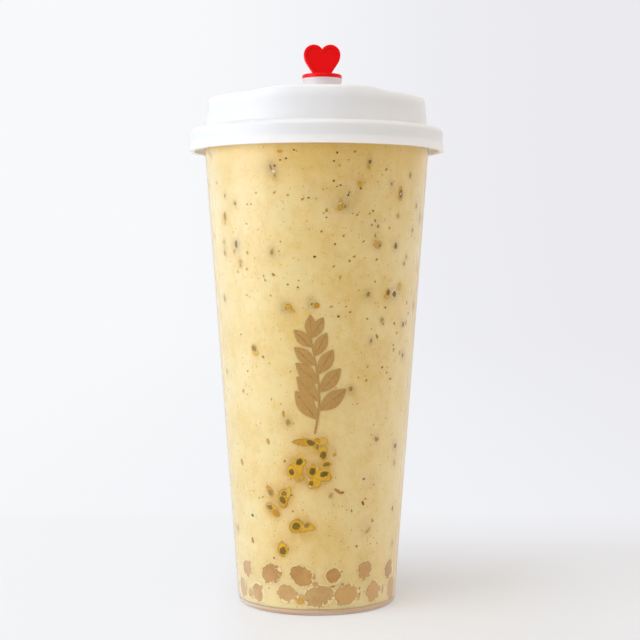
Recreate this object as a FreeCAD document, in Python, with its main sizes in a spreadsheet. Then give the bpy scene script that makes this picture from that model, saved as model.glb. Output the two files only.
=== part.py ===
"""A tall takeaway cup of fruit milkshake: clear cup, drink, tapioca pearls, white lid and heart-shaped plug.

The frame stands on the table: +Z is up, the origin is in the middle of the foot ring and -Y is the front,
where the plug is. Every length is in millimetres.
"""

import FreeCAD, Part
import math
import os

import Sketcher

SIZES = [
    # the cup: a thin tapered wall, a raised floor and a turned-down rim
    ("cup_height", 179.2),
    ("cup_foot_radius", 30.1),
    ("cup_mouth_radius", 43.2),
    ("cup_wall", 1.0),
    ("floor_thickness", 1.1),
    ("foot_recess", 1.3),
    ("foot_ring_width", 2.6),
    ("foot_edge_radius", 1.5),
    ("floor_corner_radius", 1.2),
    ("rim_reach", 1.8),
    ("rim_thickness", 1.2),
    ("rim_lip_wall", 0.9),
    ("rim_drop", 3.4),
    ("rim_edge_radius", 0.4),
    # the drink, up to its level, and the bed of tapioca pearls in it
    ("drink_gap", 1.0),
    ("bed_depth", 10.4),
    ("pearl_radius", 4.2),
    ("pearl_press", 1.5),
    ("pearl_spacing", 9.2),
    ("pearl_unevenness", 0.9),
    ("outer_pearls", 13),
    ("middle_pearls", 10),
    ("inner_pearls", 5),
    # the lid: a flared skirt over the rim, a flat shoulder, a raised crown and a seal inside the mouth
    ("skirt_clearance", 1.7),
    ("skirt_wall", 1.4),
    ("skirt_depth", 7.1),
    ("lip_flare", 0.6),
    ("lip_height", 3.0),
    ("shoulder_thickness", 1.35),
    ("shoulder_edge_radius", 1.7),
    ("bead_hold", 0.4),
    ("bead_height", 1.8),
    ("bead_gap", 0.3),
    ("crown_lean", 1.1),
    ("crown_wall", 1.1),
    ("crown_rise", 11.4),
    ("crown_edge_radius", 0.9),
    ("crown_foot_fillet", 1.0),
    ("deck_thickness", 1.2),
    ("deck_recess", 1.3),
    ("deck_margin", 6.1),
    ("deck_setback", 4.0),
    ("seal_depth", 4.2),
    ("seal_wall", 1.0),
    ("seal_clearance", 0.15),
    # the raised nose at the front of the crown, which carries the neck
    ("lid_turn", 3.7),
    ("nose_rise", 1.45),
    ("nose_side_ledge", 5.75),
    ("nose_side_run", 15.6),
    ("nose_back_ledge", 3.85),
    ("nose_back_run", 9.0),
    ("nose_side_wall", 1.4),
    ("nose_front_wall", 2.2),
    ("neck_setback", 11.1),
    ("neck_radius", 7.15),
    ("neck_height", 3.0),
    ("neck_collar", 0.7),
    ("neck_collar_reach", 0.15),
    ("neck_bore_radius", 5.9),
    # the plug: a stem in the bore, a round flange on the neck and the heart to pull it by
    ("stem_clearance", 0.1),
    ("stem_depth", 4.6),
    ("flange_reach", 0.05),
    ("flange_thickness", 1.5),
    ("flange_edge_radius", 0.5),
    ("heart_width", 13.3),
    ("heart_height", 10.85),
    ("heart_side_radius", 6.0),
    ("heart_side_lean", 34.0),
    ("heart_lobe_radius", 3.65),
    ("heart_thickness", 3.0),
    ("heart_border", 1.1),
    ("heart_recess", 0.35),
    ("heart_edge_radius", 0.55),
]

FULL_TURN = 360
UNEVEN_STEP = 2.4  # how far the wave that lifts and sinks the pearls moves on from one pearl to the next


class Length:
    """A length worked out from the sheet: its number now, and the expression that binds it."""

    def __init__(self, number, text):
        self.number = float(number)
        self.text = text

    def joined(self, sign, other, number):
        return Length(number, f"({self.text} {sign} {other.text})")

    def __add__(self, other):
        other = length(other)
        return self.joined("+", other, self.number + other.number)

    def __sub__(self, other):
        other = length(other)
        return self.joined("-", other, self.number - other.number)

    def __mul__(self, other):
        other = length(other)
        return self.joined("*", other, self.number * other.number)

    def __truediv__(self, other):
        other = length(other)
        return self.joined("/", other, self.number / other.number)

    def __neg__(self):
        return Length(-self.number, f"(-1 * {self.text})")


def length(value):
    """The value itself if it is a Length already, or a plain number as one."""
    return value if isinstance(value, Length) else Length(value, repr(value))


def of_angle(function, angle):
    """The sine, cosine or tangent of an angle of the sheet, which is in degrees."""
    return Length(function(math.radians(angle.number)), f"{function.__name__}({angle.text} * 1 deg)")


doc = FreeCAD.newDocument("milkshake")
sheet = doc.addObject("Spreadsheet::Sheet", "sizes")
for row, (alias, number) in enumerate(SIZES, start=1):
    sheet.set(f"A{row}", alias)
    sheet.set(f"B{row}", str(number))
    sheet.setAlias(f"B{row}", alias)
doc.recompute()


def size(alias):
    """A driving dimension of the sheet."""
    return Length(sheet.get(alias), f"sizes.{alias}")


# ---------------------------------------------------------------- places that several pieces share

mouth = size("cup_height")
floor_top = size("foot_recess") + size("floor_thickness")
seal_end = mouth - size("seal_depth")
drink_level = seal_end - size("drink_gap")
shoulder_top = mouth + size("shoulder_thickness")
crown_top = shoulder_top + size("crown_rise")
nose_top = crown_top + size("nose_rise")
deck_top = crown_top - size("deck_recess")
deck_under = deck_top - size("deck_thickness")
neck_top = nose_top + size("neck_height")
rim_outside = size("cup_mouth_radius") + size("rim_reach")
skirt_inside = rim_outside + size("skirt_clearance")
skirt_outside = skirt_inside + size("skirt_wall")
beyond = skirt_outside * 1.25  # past the widest part of the lid, for the cuts that run right across


def wall_outside(height):
    """The radius of the cup's outer face at a height."""
    taper = (size("cup_mouth_radius") - size("cup_foot_radius")) / size("cup_height")
    return size("cup_foot_radius") + taper * height


def wall_inside(height):
    """The radius of the cup's inner face at a height."""
    return wall_outside(height) - size("cup_wall")


crown_foot = wall_inside(mouth)
crown_side = crown_foot - size("crown_lean")
neck_reach = crown_side - size("neck_setback")
nose_half = size("neck_radius") + size("nose_side_ledge")
nose_back = neck_reach - size("neck_radius") - size("nose_back_ledge")

# ---------------------------------------------------------------- drawing helpers


def new_body(name):
    body = doc.addObject("PartDesign::Body", name)
    body.Label = name
    return body


def new_sketch(body, name, plane, forward=None):
    """A sketch on one of the body's own origin planes, moved along the plane's normal by forward."""
    sketch = body.newObject("Sketcher::SketchObject", name)
    support = next(item for item in body.Origin.OriginFeatures if item.Role == plane)
    sketch.AttachmentSupport = [(support, "")]
    sketch.MapMode = "FlatFace"
    if forward is not None:
        sketch.setExpression("AttachmentOffset.Base.z", forward.text)
    return sketch


def arc_between(start, end, radius, bulge):
    """The arc from start to end, counterclockwise if bulge is 1 and clockwise if it is -1."""
    a = FreeCAD.Vector(start[0].number, start[1].number, 0)
    b = FreeCAD.Vector(end[0].number, end[1].number, 0)
    chord = b - a
    middle = (a + b) * 0.5
    left = FreeCAD.Vector(-chord.y, chord.x, 0)
    left.normalize()
    reach = math.sqrt(max(radius.number**2 - (chord.Length / 2) ** 2, 0))
    centre = middle + left * (reach * bulge)
    first, last = (a, b) if bulge > 0 else (b, a)
    circle = Part.Circle(centre, FreeCAD.Vector(0, 0, 1), radius.number)
    turn_from = math.atan2(first.y - centre.y, first.x - centre.x)
    turn_to = math.atan2(last.y - centre.y, last.x - centre.x)
    return Part.ArcOfCircle(circle, turn_from, turn_to)


def bind(sketch, name, constraint, value):
    index = sketch.addConstraint(constraint)
    sketch.renameConstraint(index, name)
    sketch.setExpression(f"Constraints.{name}", value.text)


def draw_outline(sketch, corners, arcs=()):
    """A closed outline through the corners, each a pair of lengths from the sketch's origin.

    arcs gives the radius and the bulge of the edge that leaves a corner, by the corner's number.
    """
    arcs = dict(arcs)
    corners = [(length(across), length(up)) for across, up in corners]
    starts = []
    ends = []
    for i, corner in enumerate(corners):
        following = corners[(i + 1) % len(corners)]
        if i in arcs:
            radius, bulge = arcs[i]
            edge = sketch.addGeometry(arc_between(corner, following, radius, bulge), False)
            starts.append((edge, 1 if bulge > 0 else 2))
            ends.append((edge, 2 if bulge > 0 else 1))
        else:
            from_point = FreeCAD.Vector(corner[0].number, corner[1].number, 0)
            to_point = FreeCAD.Vector(following[0].number, following[1].number, 0)
            edge = sketch.addGeometry(Part.LineSegment(from_point, to_point), False)
            starts.append((edge, 1))
            ends.append((edge, 2))
    for i, (across, up) in enumerate(corners):
        sketch.addConstraint(Sketcher.Constraint("Coincident", *ends[i - 1], *starts[i]))
        for axis, name, value in (("DistanceX", f"across{i}", across), ("DistanceY", f"up{i}", up)):
            bind(sketch, name, Sketcher.Constraint(axis, -1, 1, *starts[i], value.number), value)
    for i, (radius, _) in arcs.items():
        bind(sketch, f"arc{i}", Sketcher.Constraint("Radius", starts[i][0], radius.number), radius)


def check_cut(feature):
    """Stops the build if a feature that should cut left the solid before it whole."""
    if not feature.Shape.Volume < feature.BaseFeature.Shape.Volume:
        raise RuntimeError(f"{feature.Name} cut nothing")


def turned(body, name, sketch, kind="Revolution"):
    """A full turn of the sketch about its own upright axis: a Revolution adds and a Groove cuts."""
    feature = body.newObject(f"PartDesign::{kind}", name)
    feature.Profile = (sketch, [""])
    feature.ReferenceAxis = (sketch, ["V_Axis"])
    feature.Angle = FULL_TURN
    doc.recompute()
    if kind == "Groove":
        check_cut(feature)
    return feature


def extruded(body, name, sketch, depth, kind="Pad", both_ways=False, reverse=False):
    """The sketch drawn out by depth along its normal: a Pad adds and a Pocket cuts."""
    feature = body.newObject(f"PartDesign::{kind}", name)
    feature.Profile = (sketch, [""])
    feature.Type = "Length"
    feature.setExpression("Length", length(depth).text)
    feature.Reversed = reverse
    if both_ways:
        feature.SideType = "Symmetric"
    doc.recompute()
    if kind == "Pocket":
        check_cut(feature)
    return feature


def ring_edges(feature, radius, height):
    """The names of the round edges about the upright axis at a radius and a height."""
    names = []
    for number, edge in enumerate(feature.Shape.Edges, start=1):
        round_edge = isinstance(edge.Curve, Part.Circle) and abs(edge.Curve.Axis.z) > 0.99
        if round_edge:
            same_size = abs(edge.Curve.Radius - radius.number) < 0.01
            same_place = abs(edge.Curve.Center.z - height.number) < 0.01
            if same_size and same_place:
                names.append(f"Edge{number}")
    return names


def rounded(body, name, base, edges, radius):
    """A fillet on the named edges of the feature before it."""
    if not edges:
        raise RuntimeError(f"{name} found no edge to round")
    fillet = body.newObject("PartDesign::Fillet", name)
    fillet.Base = (base, edges)
    fillet.setExpression("Radius", radius.text)
    doc.recompute()
    return fillet


# ---------------------------------------------------------------- the cup


def build_cup():
    """The clear cup: one thin wall from the foot ring to the turned-down rim."""
    body = new_body("cup")
    sketch = new_sketch(body, "cup_section", "XZ_Plane")
    flange_under = mouth - size("rim_thickness")
    lip_end = mouth - size("rim_drop")
    lip_inside = rim_outside - size("rim_lip_wall")
    ring_inside = size("cup_foot_radius") - size("foot_ring_width")
    recess_edge = ring_inside - size("foot_recess")
    draw_outline(
        sketch,
        [
            (ring_inside, 0),
            (size("cup_foot_radius"), 0),
            (wall_outside(flange_under), flange_under),
            (lip_inside, flange_under),
            (lip_inside, lip_end),
            (rim_outside, lip_end),
            (rim_outside, mouth),
            (wall_inside(mouth), mouth),
            (wall_inside(floor_top), floor_top),
            (0, floor_top),
            (0, size("foot_recess")),
            (recess_edge, size("foot_recess")),
        ],
    )
    shell = turned(body, "cup_shell", sketch)
    foot = ring_edges(shell, size("cup_foot_radius"), length(0))
    shell = rounded(body, "foot_edge", shell, foot, size("foot_edge_radius"))
    corner = ring_edges(shell, wall_inside(floor_top), floor_top)
    shell = rounded(body, "floor_corner", shell, corner, size("floor_corner_radius"))
    rim = ring_edges(shell, rim_outside, mouth) + ring_edges(shell, wall_inside(mouth), mouth)
    rounded(body, "rim_edges", shell, rim, size("rim_edge_radius"))
    return body


# ---------------------------------------------------------------- the drink and the pearls


def build_drink_space():
    """Everything the drink and the pearls fill: the inside of the cup up to the drink's level."""
    body = new_body("drink_space")
    sketch = new_sketch(body, "space_section", "XZ_Plane")
    draw_outline(
        sketch,
        [
            (0, floor_top),
            (wall_inside(floor_top), floor_top),
            (wall_inside(drink_level), drink_level),
            (0, drink_level),
        ],
    )
    space = turned(body, "space_form", sketch)
    corner = ring_edges(space, wall_inside(floor_top), floor_top)
    rounded(body, "space_corner", space, corner, size("floor_corner_radius"))
    return body


def pearl(name, ring_radius, turn, lift):
    """One pearl of the top layer, on a ring about the cup's axis."""
    ball = doc.addObject("Part::Sphere", name)
    ball.setExpression("Radius", size("pearl_radius").text)
    ball.setExpression("Placement.Base.x", (ring_radius * math.sin(turn)).text)
    ball.setExpression("Placement.Base.y", (ring_radius * -math.cos(turn)).text)
    ball.setExpression("Placement.Base.z", (floor_top + size("bed_depth") + lift).text)
    return ball


def build_pearl_bed(space):
    """The bed of pearls: packed full up to bed_depth, with the pearls of the top layer standing out of it."""
    slab = doc.addObject("Part::Cylinder", "packed_pearls")
    slab.setExpression("Radius", size("cup_mouth_radius").text)
    slab.setExpression("Height", (floor_top + size("bed_depth")).text)
    against_wall = wall_inside(floor_top + size("bed_depth")) - size("pearl_radius") + size("pearl_press")
    rings = [
        ("outer", size("outer_pearls"), against_wall),
        ("middle", size("middle_pearls"), against_wall - size("pearl_spacing")),
        ("inner", size("inner_pearls"), against_wall - size("pearl_spacing") * 2),
        ("central", length(1), length(0)),
    ]
    pieces = [slab]
    for ring, count, ring_radius in rings:
        for i in range(int(count.number)):
            turn = math.tau * (i + 0.5) / count.number
            lift = size("pearl_unevenness") * math.sin(UNEVEN_STEP * i + count.number)
            pieces.append(pearl(f"{ring}_pearl_{i + 1}", ring_radius, turn, lift))
    heap = doc.addObject("Part::MultiFuse", "pearl_heap")
    heap.Shapes = pieces
    doc.recompute()
    bed = doc.addObject("Part::MultiCommon", "pearl_bed")
    bed.Label = "pearl_bed"
    bed.Shapes = [space, heap]
    doc.recompute()
    return heap, bed


def build_milkshake(space, heap):
    """The drink round and over the pearls."""
    drink = doc.addObject("Part::Cut", "milkshake")
    drink.Label = "milkshake"
    drink.Base = space
    drink.Tool = heap
    doc.recompute()
    return drink


# ---------------------------------------------------------------- the lid


def step_down(start, run, top, drop):
    """The middle and the radius of the two equal arcs that lead from one level down to another."""
    middle = (start + run / 2, top - drop / 2)
    radius = (run * run + drop * drop) / (drop * 4)
    return middle, radius


def draw_nose_front(sketch):
    """What the crown's top loses on both sides of the nose, as seen from the front."""
    half = nose_half
    run = size("nose_side_run")
    middle, radius = step_down(half, run, nose_top, size("nose_rise"))
    above = nose_top + size("nose_rise")
    draw_outline(
        sketch,
        [
            (-beyond, crown_top),
            (-(half + run), crown_top),
            (-middle[0], middle[1]),
            (-half, nose_top),
            (half, nose_top),
            middle,
            (half + run, crown_top),
            (beyond, crown_top),
            (beyond, above),
            (-beyond, above),
        ],
        {1: (radius, 1), 2: (radius, -1), 4: (radius, -1), 5: (radius, 1)},
    )


def draw_nose_side(sketch):
    """What the crown's top loses behind the nose, as seen from the side."""
    back = -nose_back
    run = size("nose_back_run")
    middle, radius = step_down(back, run, nose_top, size("nose_rise"))
    above = nose_top + size("nose_rise")
    draw_outline(
        sketch,
        [
            (back, nose_top),
            middle,
            (back + run, crown_top),
            (beyond, crown_top),
            (beyond, above),
            (back, above),
        ],
        {0: (radius, -1), 1: (radius, 1)},
    )


def draw_deck(sketch):
    """The sunk deck behind the nose: a round field with a straight front edge."""
    front = size("nose_back_run") + size("deck_setback") - nose_back
    radius = crown_side - size("deck_margin")
    half_number = math.sqrt(radius.number**2 - front.number**2)
    half = Length(half_number, f"sqrt({(radius * radius - front * front).text})")
    corners = [(half, front), (length(0), radius), (-half, front)]
    draw_outline(sketch, corners, {0: (radius, 1), 1: (radius, 1)})


def build_lid():
    """The lid: skirt, shoulder, crown and seal in one turned section, then the nose, the deck and the neck."""
    body = new_body("lid")
    sketch = new_sketch(body, "lid_section", "XZ_Plane")
    skirt_end = mouth - size("skirt_depth")
    lip_top = skirt_end + size("lip_height")
    bead_top = mouth - size("rim_drop") - size("bead_gap")
    bead_middle = bead_top - size("bead_height") / 2
    seal_outside = wall_inside(mouth) - size("seal_clearance")
    seal_tip = wall_inside(seal_end) - size("seal_clearance")
    draw_outline(
        sketch,
        [
            (0, deck_under),
            (crown_side - size("crown_wall"), deck_under),
            (seal_tip - size("seal_wall"), seal_end),
            (seal_tip, seal_end),
            (seal_outside, mouth),
            (skirt_inside, mouth),
            (skirt_inside, bead_top),
            (rim_outside - size("bead_hold"), bead_middle),
            (skirt_inside, bead_top - size("bead_height")),
            (skirt_inside, skirt_end),
            (skirt_outside + size("lip_flare"), skirt_end),
            (skirt_outside, lip_top),
            (skirt_outside, shoulder_top),
            (crown_foot, shoulder_top),
            (crown_side, nose_top),
            (0, nose_top),
        ],
    )
    shell = turned(body, "lid_shell", sketch)
    shoulder = ring_edges(shell, skirt_outside, shoulder_top)
    shell = rounded(body, "shoulder_edge", shell, shoulder, size("shoulder_edge_radius"))
    foot = ring_edges(shell, crown_foot, shoulder_top)
    rounded(body, "crown_foot", shell, foot, size("crown_foot_fillet"))

    sketch = new_sketch(body, "nose_front", "XZ_Plane")
    draw_nose_front(sketch)
    extruded(body, "nose_sides", sketch, beyond * 2, kind="Pocket", both_ways=True)
    sketch = new_sketch(body, "nose_side", "YZ_Plane")
    draw_nose_side(sketch)
    crown = extruded(body, "nose_back", sketch, beyond * 2, kind="Pocket", both_ways=True)
    crown = rounded(body, "crown_edge", crown, crown_edges(crown), size("crown_edge_radius"))

    sketch = new_sketch(body, "deck_field", "XY_Plane", crown_top)
    draw_deck(sketch)
    extruded(body, "deck", sketch, size("deck_recess"), kind="Pocket")
    sketch = new_sketch(body, "nose_hollow_field", "XY_Plane", deck_under)
    half = nose_half - size("nose_side_wall")
    hollow_back = size("neck_radius") - neck_reach
    hollow_front = size("crown_wall") + size("nose_front_wall") - crown_side
    draw_outline(
        sketch,
        [(-half, hollow_front), (half, hollow_front), (half, hollow_back), (-half, hollow_back)],
    )
    hollow = nose_top - size("deck_thickness") - deck_under
    extruded(body, "nose_hollow", sketch, hollow, kind="Pocket", reverse=True)

    sketch = new_sketch(body, "neck_section", "XZ_Plane", neck_reach)
    collar = size("neck_radius") + size("neck_collar_reach")
    collar_foot = neck_top - size("neck_collar")
    draw_outline(
        sketch,
        [
            (0, nose_top - size("deck_thickness")),
            (size("neck_radius"), nose_top - size("deck_thickness")),
            (size("neck_radius"), collar_foot),
            (collar, collar_foot),
            (collar, neck_top),
            (0, neck_top),
        ],
    )
    turned(body, "neck", sketch)
    sketch = new_sketch(body, "bore_section", "XZ_Plane", neck_reach)
    bore = size("neck_bore_radius")
    draw_outline(sketch, [(0, deck_under), (bore, deck_under), (bore, neck_top), (0, neck_top)])
    turned(body, "neck_bore", sketch, kind="Groove")
    body.setExpression("Placement.Rotation.Angle", size("lid_turn").text)
    return body


def crown_edges(feature):
    """The names of the edges all round the top of the crown."""
    names = []
    for number, edge in enumerate(feature.Shape.Edges, start=1):
        reach = [math.hypot(vertex.X, vertex.Y) for vertex in edge.Vertexes]
        middle = edge.valueAt((edge.FirstParameter + edge.LastParameter) / 2)
        reach.append(math.hypot(middle.x, middle.y))
        at_side = min(reach) > crown_side.number - 0.1
        at_top = edge.BoundBox.ZMin > crown_top.number - 0.01
        if at_side and at_top:
            names.append(f"Edge{number}")
    return names


# ---------------------------------------------------------------- the plug


def draw_heart(sketch, border=None):
    """Half-round lobes, sides that lean in to a flat foot on the flange, or the field inside a border of that width."""
    inset = border or length(0)
    radius = size("heart_lobe_radius")
    lobe = radius - inset
    widest = size("heart_width") / 2 - inset
    lobe_across = size("heart_width") / 2 - radius
    lobe_up = size("flange_thickness") + size("heart_height") - radius
    foot = size("flange_thickness") + inset
    side = size("heart_side_radius") - inset
    sine, cosine, tangent = (of_angle(function, size("heart_side_lean")) for function in (math.sin, math.cos, math.tan))
    bend_across = widest - side + side * cosine
    bend_up = lobe_up - side * sine
    foot_half = bend_across - (bend_up - foot) * tangent
    notch_number = math.sqrt(radius.number**2 - lobe_across.number**2)
    notch = Length(notch_number, f"sqrt({(radius * radius - lobe_across * lobe_across).text})")
    corners = [(-foot_half, foot), (foot_half, foot), (bend_across, bend_up), (widest, lobe_up)]
    if border is None:
        corners += [(length(0), lobe_up + notch), (-widest, lobe_up)]
        arcs = {2: (side, 1), 3: (lobe, 1), 4: (lobe, 1), 5: (side, 1)}
    else:
        meet_across = lobe_across * inset / radius
        meet_up = lobe_up + notch * lobe / radius
        corners += [(meet_across, meet_up), (-meet_across, meet_up), (-widest, lobe_up)]
        arcs = {2: (side, 1), 3: (lobe, 1), 4: (inset, -1), 5: (lobe, 1), 6: (side, 1)}
    corners.append((-bend_across, bend_up))
    draw_outline(sketch, corners, arcs)


def heart_edges(feature):
    """The names of the edges round the two faces of the heart, above the flange."""
    names = []
    face_at = size("heart_thickness").number / 2
    for number, edge in enumerate(feature.Shape.Edges, start=1):
        box = edge.BoundBox
        on_face = abs(abs(box.YMin) - face_at) < 0.01 and box.YMax - box.YMin < 0.01
        above_foot = box.ZMax > size("flange_thickness").number + 0.1
        if on_face and above_foot:
            names.append(f"Edge{number}")
    return names


def build_plug():
    """The plug, with its own frame in the middle of the neck's top."""
    body = new_body("plug")
    sketch = new_sketch(body, "plug_section", "XZ_Plane")
    stem = size("neck_bore_radius") - size("stem_clearance")
    flange = size("neck_radius") + size("flange_reach")
    draw_outline(
        sketch,
        [
            (0, -size("stem_depth")),
            (stem, -size("stem_depth")),
            (stem, 0),
            (flange, 0),
            (flange, size("flange_thickness")),
            (0, size("flange_thickness")),
        ],
    )
    turning = turned(body, "stem_and_flange", sketch)
    edges = ring_edges(turning, flange, size("flange_thickness")) + ring_edges(turning, flange, length(0))
    rounded(body, "flange_edges", turning, edges, size("flange_edge_radius"))
    sketch = new_sketch(body, "heart_outline", "XZ_Plane")
    draw_heart(sketch)
    heart = extruded(body, "heart", sketch, size("heart_thickness"), both_ways=True)
    rounded(body, "heart_rounding", heart, heart_edges(heart), size("heart_edge_radius"))
    for side, name in ((1, "front"), (-1, "back")):
        face_at = size("heart_thickness") / 2 * side
        sketch = new_sketch(body, f"heart_{name}_outline", "XZ_Plane", face_at)
        draw_heart(sketch, size("heart_border"))
        extruded(body, f"heart_{name}_field", sketch, size("heart_recess"), kind="Pocket", reverse=side < 0)
    turn = size("lid_turn").text
    body.setExpression("Placement.Base.x", f"{neck_reach.text} * sin({turn} * 1 deg)")
    body.setExpression("Placement.Base.y", f"-1 * {neck_reach.text} * cos({turn} * 1 deg)")
    body.setExpression("Placement.Base.z", neck_top.text)
    body.setExpression("Placement.Rotation.Angle", turn)
    return body


# ---------------------------------------------------------------- build, check and write


def check(nodes):
    """Stops the build if any object failed or any piece is empty or broken."""
    for item in doc.Objects:
        if "Invalid" in item.State or "Error" in item.State:
            raise RuntimeError(f"{item.Name} failed: {item.State}")
    for node in nodes:
        shape = node.Shape
        if shape.isNull() or not shape.isValid() or not shape.Solids:
            raise RuntimeError(f"{node.Label} has no sound solid")


def main():
    space = build_drink_space()
    heap, bed = build_pearl_bed(space)
    nodes = [build_cup(), build_milkshake(space, heap), bed, build_lid(), build_plug()]
    doc.recompute()
    check(nodes)
    os.makedirs("parts", exist_ok=True)
    for node in nodes:
        node.Shape.exportStep(f"parts/{node.Label}.step")
        box = node.Shape.BoundBox
        print(node.Label, len(node.Shape.Solids), round(node.Shape.Volume), box)


main()
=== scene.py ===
"""The looks of a tall takeaway cup of fruit milkshake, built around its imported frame.

The drink, the pearls, the seeds and the pulp are seen through a thin clear wall. What fills the cup reaches
just into that wall, so no air shows between them. Lengths are in metres unless a class says otherwise. A turn
is an angle about the cup's axis: it is 0 at the front, where the plug is, and grows towards +X.
"""

import logging
import math
import random
from collections.abc import Callable
from dataclasses import dataclass, field, replace
from enum import Enum

import bmesh
import bpy
import numpy as np
from bpy.types import Material, Node
from bpy.types import NodeSocket as Socket
from bpy.types import Object as Piece
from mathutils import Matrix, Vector


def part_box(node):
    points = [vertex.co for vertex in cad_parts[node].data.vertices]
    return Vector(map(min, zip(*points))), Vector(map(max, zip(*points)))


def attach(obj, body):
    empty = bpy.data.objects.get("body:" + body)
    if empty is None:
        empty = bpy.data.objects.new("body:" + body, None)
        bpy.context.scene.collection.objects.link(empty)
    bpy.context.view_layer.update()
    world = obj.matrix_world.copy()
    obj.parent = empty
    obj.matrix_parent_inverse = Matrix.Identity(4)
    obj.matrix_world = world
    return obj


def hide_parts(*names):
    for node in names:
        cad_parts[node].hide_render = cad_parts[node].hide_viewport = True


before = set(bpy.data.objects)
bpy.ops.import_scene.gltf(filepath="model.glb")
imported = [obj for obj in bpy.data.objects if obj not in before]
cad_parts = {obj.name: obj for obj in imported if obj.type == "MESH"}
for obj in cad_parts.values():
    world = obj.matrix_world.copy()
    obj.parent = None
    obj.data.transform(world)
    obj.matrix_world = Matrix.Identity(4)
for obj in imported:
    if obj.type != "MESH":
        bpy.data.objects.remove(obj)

LOG = logging.getLogger("milkshake")
BODY = "root"
MM = 0.001
POLE_RADIUS = 0.01 * MM
WELD = 0.03 * MM
SHARP_ANGLE = math.radians(40.0)
ORANGE = "ECBA24"
MIST = "E2B860"
FILM_PAINTS = ("edge", "veil", "wear", "haze", "tone")
Mark = tuple[float, float, float, float]  # a turn in radians, a height, a reach and a strength


# ---- colours and material graphs


def shade(code: str) -> tuple[float, float, float, float]:
    """Turns a screen colour into the linear colour that a socket takes.

    Args:
        code: The colour as six hexadecimal digits.

    Returns:
        The linear red, green and blue, and a full alpha.
    """
    parts = [int(code[i:i + 2], 16) / 255 for i in (0, 2, 4)]
    linear = [part / 12.92 if part <= 0.04045 else ((part + 0.055) / 1.055) ** 2.4 for part in parts]
    return (*linear, 1.0)


class Graph:
    """The nodes of one material, added one after another."""

    def __init__(self, name: str) -> None:
        """Starts an empty material.

        Args:
            name: The material's name.
        """
        self.material = bpy.data.materials.new(name)
        self.material.use_nodes = True
        self.tree = self.material.node_tree
        self.tree.nodes.clear()
        self.place = self.node("TexCoord").outputs["Object"]

    def node(self, kind: str, inputs: dict | None = None, **settings: object) -> Node:
        """Adds a node.

        Args:
            kind: The node's type name after "ShaderNode".
            inputs: A number, a colour's code or another node's socket for each input, by name or number.
            settings: The node's own properties.

        Returns:
            The new node.
        """
        node = self.tree.nodes.new("ShaderNode" + kind)
        for name, value in settings.items():
            setattr(node, name, value)
        for name, value in (inputs or {}).items():
            if isinstance(value, Socket):
                self.tree.links.new(value, node.inputs[name])
            else:
                node.inputs[name].default_value = shade(value) if isinstance(value, str) else value
        return node

    def noise(self, scale: float, detail: float = 2.0, roughness: float = 0.5,
              stretch: tuple[float, float, float] = (1, 1, 1)) -> Socket:
        """Cloudy values from 0 to 1 over the object's own coordinates.

        Args:
            scale: Waves for each metre.
            detail: Finer waves that are added.
            roughness: How strong the finer waves are.
            stretch: What each coordinate is multiplied by.

        Returns:
            The noise's value.
        """
        place = self.node("Mapping", {"Vector": self.place, "Scale": stretch}).outputs[0]
        inputs = {"Vector": place, "Scale": scale, "Detail": detail, "Roughness": roughness}
        return self.node("TexNoise", inputs).outputs["Fac"]

    def math(self, operation: str, first: object, second: object = 0.0) -> Socket:
        """One operation on two values."""
        return self.node("Math", {0: first, 1: second}, operation=operation).outputs[0]

    def times(self, first: object, second: object) -> Socket:
        """Two values multiplied."""
        return self.math("MULTIPLY", first, second)

    def step(self, value: object, low: float, high: float, start: float = 0.0, end: float = 1.0) -> Socket:
        """A smooth rise from start to end while the value goes from low to high."""
        inputs = {"Value": value, "From Min": low, "From Max": high, "To Min": start, "To Max": end}
        return self.node("MapRange", inputs, interpolation_type="SMOOTHSTEP").outputs[0]

    def blend(self, factor: object, first: object, second: object) -> Socket:
        """Two colours mixed by a factor."""
        node = self.node("Mix", {0: factor, 6: first, 7: second}, data_type="RGBA")
        return node.outputs[2]

    def paint(self, name: str) -> Socket:
        """The value painted on the mesh under that name."""
        return self.node("Attribute", attribute_name=name).outputs["Fac"]

    def height(self) -> Socket:
        """The height above the table."""
        return self.node("SeparateXYZ", {0: self.place}).outputs["Z"]

    def bump(self, value: object, depth: float, strength: float) -> Socket:
        """A normal that follows a relief of that depth."""
        inputs = {"Height": value, "Distance": depth, "Strength": strength}
        return self.node("Bump", inputs).outputs[0]

    def plastic(self, inputs: dict) -> Socket:
        """The Principled surface with those inputs."""
        return self.node("BsdfPrincipled", inputs).outputs[0]

    def mix(self, factor: object, first: object, second: object) -> Socket:
        """Two surfaces mixed by a factor."""
        return self.node("MixShader", {0: factor, 1: first, 2: second}).outputs[0]

    def finish(self, surface: Socket) -> Material:
        """Ends the graph with its surface and gives the finished material."""
        self.node("OutputMaterial", {"Surface": surface})
        return self.material


# ---- finishes


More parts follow.
